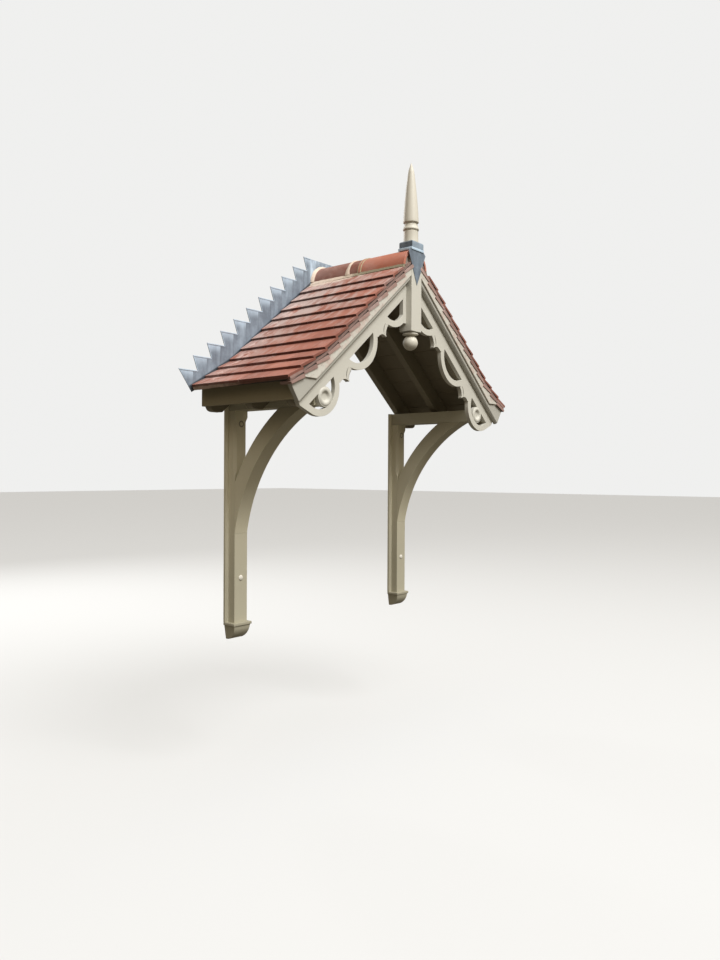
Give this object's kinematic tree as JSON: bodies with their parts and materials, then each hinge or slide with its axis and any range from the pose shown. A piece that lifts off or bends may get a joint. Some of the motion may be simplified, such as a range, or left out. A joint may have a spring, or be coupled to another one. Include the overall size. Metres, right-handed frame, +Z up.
{
  "type": "entrance porch",
  "caption": "Gabled timber porch canopy on curved wall brackets, with pierced bargeboards, turned finial, clay tiles and stepped lead flashing.",
  "frame": {"origin": "middle of the back end of the ridge board, on the wall face and on the centre line", "axes": "+X to the right along the wall, +Y into the wall, +Z up; the porch stands out from the wall towards -Y"},
  "size_m": [2.156, 0.696, 2.5939],
  "materials": {
    "painted_timber": "satin",
    "painted_soffit": "satin",
    "painted_finial": "satin",
    "clay_tile": "matte",
    "mortar": "matte",
    "lead": "matte"
  },
  "bodies": {
    "root": {"finial_spire": "painted_finial", "king_post": "painted_timber", "lead_apron": "lead", "lead_cap": "lead", "left_back_board": "painted_timber", "left_bargeboard": "painted_timber", "left_bargeboard_capping": "painted_timber", "left_battens": "painted_soffit", "left_beam": "painted_timber", "left_brace": "painted_timber", "left_fascia": "painted_timber", "left_foot": "painted_timber", "left_fretwork": "painted_timber", "left_front_rafter": "painted_soffit", "left_middle_rafter": "painted_soffit", "left_post": "painted_timber", "left_ridge_mortar": "mortar", "left_roof_tiles": "clay_tile", "left_soffit_boards": "painted_soffit", "left_stepped_flashing": "lead", "left_undercloak": "clay_tile", "left_wall_rafter": "painted_soffit", "pendant_ball": "painted_timber", "ridge_board": "painted_soffit", "ridge_saddle": "lead", "ridge_tiles": "clay_tile", "right_back_board": "painted_timber", "right_bargeboard": "painted_timber", "right_bargeboard_capping": "painted_timber", "right_battens": "painted_soffit", "right_beam": "painted_timber", "right_brace": "painted_timber", "right_fascia": "painted_timber", "right_foot": "painted_timber", "right_fretwork": "painted_timber", "right_front_rafter": "painted_soffit", "right_middle_rafter": "painted_soffit", "right_post": "painted_timber", "right_ridge_mortar": "mortar", "right_roof_tiles": "clay_tile", "right_soffit_boards": "painted_soffit", "right_stepped_flashing": "lead", "right_undercloak": "clay_tile", "right_wall_rafter": "painted_soffit"}
  },
  "joints": []
}
